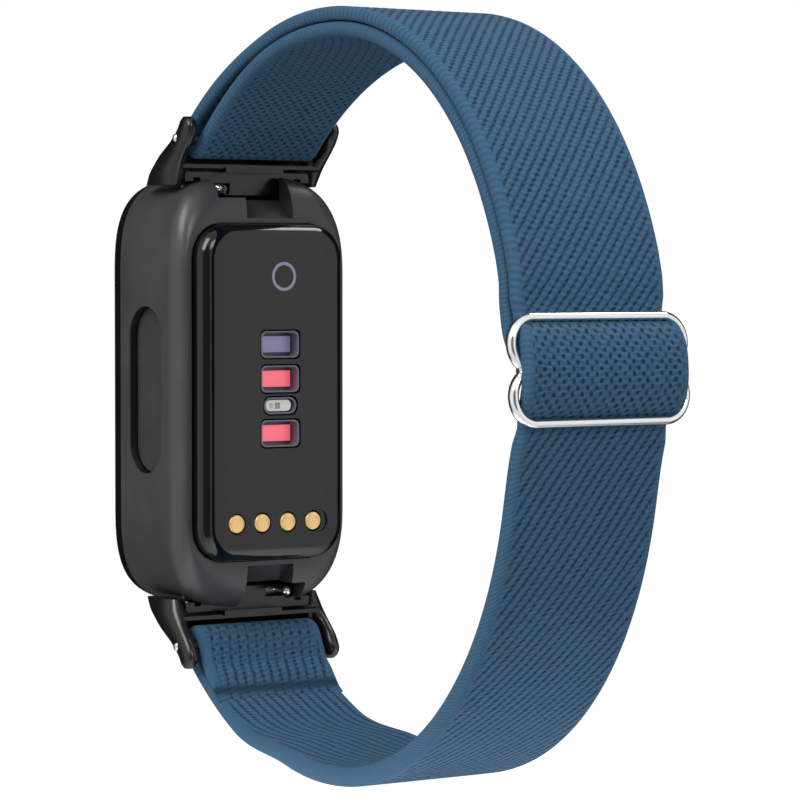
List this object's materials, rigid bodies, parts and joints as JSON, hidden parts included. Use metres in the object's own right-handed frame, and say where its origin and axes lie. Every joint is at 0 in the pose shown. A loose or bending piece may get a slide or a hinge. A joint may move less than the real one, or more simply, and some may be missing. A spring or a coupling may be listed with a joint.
{
  "type": "fitness tracker band",
  "caption": "Slim wrist tracker pod with a raised sensor cover, clipped into an elastic webbing strap that adjusts through a polished metal slider.",
  "frame": {"origin": "centre of the strap's loop, on the axis that the strap is wound about and midway across its width", "axes": "+Z along the pod's long side, +X from the pod through the wrist to the slider, +Y across the strap"},
  "size_m": [0.0609, 0.0184, 0.0657],
  "materials": {
    "shell": "semi-matte moulded black polycarbonate",
    "side_key": "satin black",
    "sensor_cover": "high gloss black",
    "display_lens": "black cover lens, switched off",
    "display_panel": "dark display module",
    "seal": "matte silicone",
    "cell": "foil and pressed metal",
    "board": "solder mask",
    "flex": "polyimide film",
    "optical_barrier": "satin grey-violet",
    "violet_chip": "coated sensor chip",
    "red_chip": "coated sensor chip",
    "emitter": "clear-potted emitter",
    "gold_contact": "gold plated",
    "adapter": "semi-gloss black",
    "steel": "bright steel",
    "slider_metal": "polished",
    "webbing": "blue elastic nylon twill"
  },
  "bodies": {
    "root": {"pod_shell": "shell", "mid_frame": "shell", "display_lens": "display_lens", "display_panel": "display_panel", "lens_gasket": "seal", "battery": "cell", "main_board": "board", "vibration_motor": "cell", "sensor_flex": "flex", "sensor_board": "board", "sensor_cover": "sensor_cover", "cover_seal": "seal", "window_tray_upper": "optical_barrier", "window_tray_middle": "optical_barrier", "window_tray_lower": "optical_barrier", "led_tray": "optical_barrier", "photodiode_upper": "violet_chip", "photodiode_middle": "red_chip", "photodiode_lower": "red_chip", "led_package": "emitter", "charging_contact_1": "gold_contact", "charging_contact_2": "gold_contact", "charging_contact_3": "gold_contact", "charging_contact_4": "gold_contact", "key_switch_near": "cell", "key_switch_far": "cell", "strap_outer_run": "webbing", "strap_inner_run": "webbing", "strap_lower_run": "webbing", "strap_fold_flap": "webbing", "strap_outer_feed": "webbing", "strap_inner_feed": "webbing", "strap_lower_feed": "webbing"},
    "near_key": {"side_key_near": "side_key"},
    "far_key": {"side_key_far": "side_key"},
    "top_connector": {"connector_top_frame": "adapter", "spring_bar_tube_top": "steel", "spring_bar_tip_top": "steel", "spring_bar_spring_top": "steel", "strap_pin_top": "steel", "pin_loop_top": "webbing"},
    "top_release": {"release_tip_top": "steel"},
    "bottom_connector": {"connector_bottom_frame": "adapter", "spring_bar_tube_bottom": "steel", "spring_bar_tip_bottom": "steel", "spring_bar_spring_bottom": "steel", "strap_pin_bottom": "steel", "pin_loop_bottom": "webbing"},
    "bottom_release": {"release_tip_bottom": "steel"},
    "slider": {"slider_frame": "slider_metal", "slider_wrap": "webbing", "slider_end_loop": "webbing"}
  },
  "joints": [
    {"name": "near_key_press", "type": "slide", "parent": "root", "child": "near_key", "axis": [0, 1, 0], "range_m": [0, 0.00025], "stiffness_N_per_m": 4000},
    {"name": "far_key_press", "type": "slide", "parent": "root", "child": "far_key", "axis": [0, -1, 0], "range_m": [0, 0.00025], "stiffness_N_per_m": 4000},
    {"name": "top_connector_hinge", "type": "hinge", "parent": "root", "child": "top_connector", "pos_m": [-0.0246, 0, 0.0183], "axis": [0, 1, 0], "range_deg": [-4, 4]},
    {"name": "top_release_slide", "type": "slide", "parent": "top_connector", "child": "top_release", "axis": [0, 1, 0], "range_m": [0, 0.0011], "stiffness_N_per_m": 800, "deforming": ["spring_bar_spring_top"]},
    {"name": "bottom_connector_hinge", "type": "hinge", "parent": "root", "child": "bottom_connector", "pos_m": [-0.0246, 0, -0.0183], "axis": [0, 1, 0], "range_deg": [-4, 4]},
    {"name": "bottom_release_slide", "type": "slide", "parent": "bottom_connector", "child": "bottom_release", "axis": [0, -1, 0], "range_m": [0, 0.0011], "stiffness_N_per_m": 800, "deforming": ["spring_bar_spring_bottom"]},
    {"name": "slider_travel", "type": "hinge", "parent": "root", "child": "slider", "pos_m": [-0.0169, 0, 0], "axis": [0, 1, 0], "range_deg": [-8.2, 8.2], "deforming": ["strap_outer_feed", "strap_inner_feed", "strap_lower_feed"]}
  ]
}
